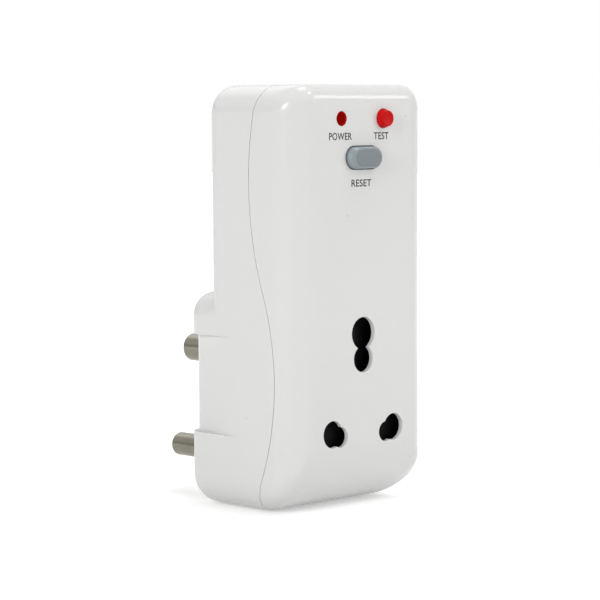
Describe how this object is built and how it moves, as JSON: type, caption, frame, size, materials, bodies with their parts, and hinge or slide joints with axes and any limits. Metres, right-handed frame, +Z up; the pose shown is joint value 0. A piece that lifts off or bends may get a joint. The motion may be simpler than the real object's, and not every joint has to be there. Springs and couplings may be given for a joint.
{
  "type": "rcd adapter plug",
  "caption": "White plug-in adapter with round pins behind, a shuttered socket in front, TEST and RESET buttons and a power lamp.",
  "frame": {"origin": "on the plug block's rear face, midway between the line and neutral pins", "axes": "+Z up the case, +Y out of the rear face along the plug pins, +X right seen from the front"},
  "size_m": [0.058, 0.0771, 0.1241],
  "materials": {
    "shell_white": "smooth, slightly glossy",
    "plated_pin": "nickel-plated brass, drawn",
    "steel": "zinc-plated steel",
    "brass": "plain",
    "copper": "enamelled copper wire",
    "contact_silver": "silver alloy",
    "red_plastic": "smooth",
    "grey_plastic": "fine satin",
    "red_lens": "clear red, dark behind",
    "dark_plastic": "satin",
    "shutter_plastic": "satin",
    "natural_plastic": "satin",
    "board": "solder mask",
    "blue_coat": "dipped coating",
    "tan_coat": "dipped coating",
    "can": "sleeved can"
  },
  "bodies": {
    "chassis": {"front_shell": "shell_white", "rear_shell": "shell_white", "case_screws": "steel", "line_pin": "plated_pin", "neutral_pin": "plated_pin", "earth_pin": "plated_pin", "pin_clamp": "dark_plastic", "clamp_screws": "steel", "socket_insert": "dark_plastic", "insert_screws": "steel", "line_contact": "brass", "neutral_contact": "brass", "earth_contact": "brass", "shutter_pivot": "steel", "shutter_spring": "steel", "test_spring": "steel", "reset_spring": "steel", "button_guide": "natural_plastic", "guide_screws": "steel", "lamp_lens": "red_lens", "power_led": "red_lens", "led_leads": "steel", "circuit_board": "board", "board_screws": "steel", "current_transformer": "dark_plastic", "contact_base": "natural_plastic", "line_supply_bar": "brass", "neutral_supply_bar": "brass", "line_load_bar": "brass", "neutral_load_bar": "brass", "earth_bar": "brass", "fixed_contact_tips": "contact_silver", "break_springs": "steel", "coil_bobbin": "natural_plastic", "coil_winding": "copper", "plunger_spring": "steel", "trip_chip": "dark_plastic", "thyristor": "dark_plastic", "test_switch": "dark_plastic", "filter_capacitor": "can", "surge_varistor": "blue_coat", "test_resistor": "tan_coat", "rectifier_diodes": "dark_plastic"},
    "shutter": {"socket_shutter": "shutter_plastic"},
    "test_push": {"test_button": "red_plastic"},
    "reset_push": {"reset_button": "grey_plastic"},
    "carriage": {"contact_carriage": "natural_plastic", "contact_bridges": "brass", "moving_contact_tips": "contact_silver"},
    "latch": {"latch_plate": "steel"},
    "plunger": {"trip_plunger": "steel"}
  },
  "joints": [
    {"name": "test_slide", "type": "slide", "parent": "chassis", "child": "test_push", "axis": [0, 1, 0], "range_m": [0, 0.0012], "stiffness_N_per_m": 400, "springref_m": -0.002, "deforming": ["test_spring"]},
    {"name": "reset_slide", "type": "slide", "parent": "chassis", "child": "reset_push", "axis": [0, 1, 0], "range_m": [0, 0.0024], "stiffness_N_per_m": 600, "springref_m": -0.002, "deforming": ["reset_spring"]},
    {"name": "carriage_slide", "type": "slide", "parent": "chassis", "child": "carriage", "axis": [0, 1, 0], "range_m": [0, 0.0024], "deforming": ["break_springs"]},
    {"name": "trip_slide", "type": "slide", "parent": "chassis", "child": "plunger", "axis": [1, 0, 0], "range_m": [0, 0.002], "stiffness_N_per_m": 150, "springref_m": -0.001, "deforming": ["plunger_spring"]},
    {"name": "latch_slide", "type": "slide", "parent": "carriage", "child": "latch", "axis": [1, 0, 0], "range_m": [0, 0.002]},
    {"name": "shutter_turn", "type": "hinge", "parent": "chassis", "child": "shutter", "pos_m": [0, -0.041, 0.0185], "axis": [0, -1, 0], "range_deg": [0, 42], "stiffness_Nm_per_rad": 0.004, "springref_deg": -22.92, "deforming": ["shutter_spring"]}
  ],
  "couplings": [
    {"joint": "carriage_slide", "follows": "reset_slide", "ratio": 1},
    {"joint": "latch_slide", "follows": "trip_slide", "ratio": 1}
  ]
}
